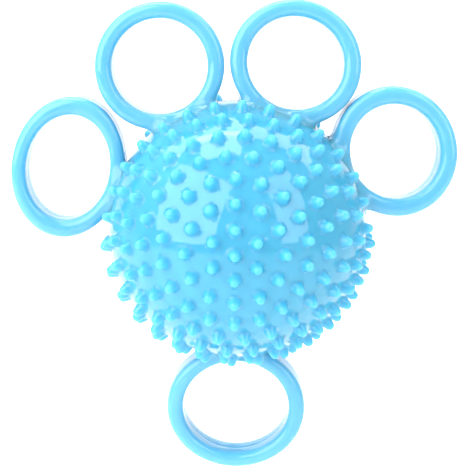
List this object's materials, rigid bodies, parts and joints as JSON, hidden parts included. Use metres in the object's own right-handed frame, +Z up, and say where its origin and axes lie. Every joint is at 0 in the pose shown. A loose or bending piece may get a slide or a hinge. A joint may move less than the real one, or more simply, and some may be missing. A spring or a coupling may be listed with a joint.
{
  "type": "hand grip strengthener",
  "caption": "Soft hollow ball covered in rounded nubs, with finger loops moulded round it for squeezing and opening the hand.",
  "frame": {"origin": "the ball's centre", "axes": "+Z up the hand, away from the thumb loop; the shown side of the ball faces -Y; the loops stand in the plane y = 0"},
  "size_m": [0.1228, 0.0754, 0.132],
  "materials": {
    "tpr_blue": "glossy translucent sky-blue thermoplastic rubber",
    "plug_blue": "glossy blue thermoplastic rubber plug"
  },
  "bodies": {
    "ball": {"ball_belt": "tpr_blue", "front_belt_nubs_5": "tpr_blue", "front_belt_nubs_6": "tpr_blue", "front_belt_nubs_7": "tpr_blue", "front_belt_nubs_8": "tpr_blue", "rear_belt_nubs_5": "tpr_blue", "rear_belt_nubs_6": "tpr_blue", "rear_belt_nubs_7": "tpr_blue", "rear_belt_nubs_8": "tpr_blue", "index_webs": "tpr_blue", "middle_webs": "tpr_blue", "ring_finger_webs": "tpr_blue", "little_webs": "tpr_blue", "thumb_webs": "tpr_blue"},
    "front_cap": {"front_dome": "tpr_blue", "front_cap_nubs_0": "tpr_blue", "front_cap_nubs_1": "tpr_blue", "front_cap_nubs_2": "tpr_blue", "front_cap_nubs_3": "tpr_blue", "front_cap_nubs_4": "tpr_blue"},
    "rear_cap": {"rear_dome": "tpr_blue", "valve_plug": "plug_blue", "rear_cap_nubs_1": "tpr_blue", "rear_cap_nubs_2": "tpr_blue", "rear_cap_nubs_3": "tpr_blue", "rear_cap_nubs_4": "tpr_blue"},
    "index_loop": {"index_loop": "tpr_blue"},
    "middle_loop": {"middle_loop": "tpr_blue"},
    "ring_finger_loop": {"ring_finger_loop": "tpr_blue"},
    "little_loop": {"little_loop": "tpr_blue"},
    "thumb_loop": {"thumb_loop": "tpr_blue"}
  },
  "joints": [
    {"name": "front_squeeze", "type": "slide", "parent": "ball", "child": "front_cap", "axis": [0, 1, 0], "range_m": [0, 0.008], "stiffness_N_per_m": 2500},
    {"name": "rear_squeeze", "type": "slide", "parent": "ball", "child": "rear_cap", "axis": [0, -1, 0], "range_m": [0, 0.008], "stiffness_N_per_m": 2500},
    {"name": "index_loop_flex", "type": "hinge", "parent": "ball", "child": "index_loop", "pos_m": [-0.03497, 0, 0.01268], "axis": [0.3409, 0, 0.9401], "range_deg": [-25, 25], "stiffness_Nm_per_rad": 0.12, "deforming": ["index_webs"]},
    {"name": "middle_loop_flex", "type": "hinge", "parent": "ball", "child": "middle_loop", "pos_m": [-0.01624, 0, 0.03347], "axis": [0.8996, 0, 0.4366], "range_deg": [-25, 25], "stiffness_Nm_per_rad": 0.12, "deforming": ["middle_webs"]},
    {"name": "ring_finger_loop_flex", "type": "hinge", "parent": "ball", "child": "ring_finger_loop", "pos_m": [0.01167, 0, 0.03532], "axis": [0.9495, 0, -0.3138], "range_deg": [-25, 25], "stiffness_Nm_per_rad": 0.12, "deforming": ["ring_finger_webs"]},
    {"name": "little_loop_flex", "type": "hinge", "parent": "ball", "child": "little_loop", "pos_m": [0.03299, 0, 0.0172], "axis": [0.4623, 0, -0.8867], "range_deg": [-25, 25], "stiffness_Nm_per_rad": 0.12, "deforming": ["little_webs"]},
    {"name": "thumb_loop_flex", "type": "hinge", "parent": "ball", "child": "thumb_loop", "pos_m": [0.00023, 0, -0.0372], "axis": [-1, 0, -0.0061], "range_deg": [-40, 40], "stiffness_Nm_per_rad": 0.12, "deforming": ["thumb_webs"]}
  ]
}
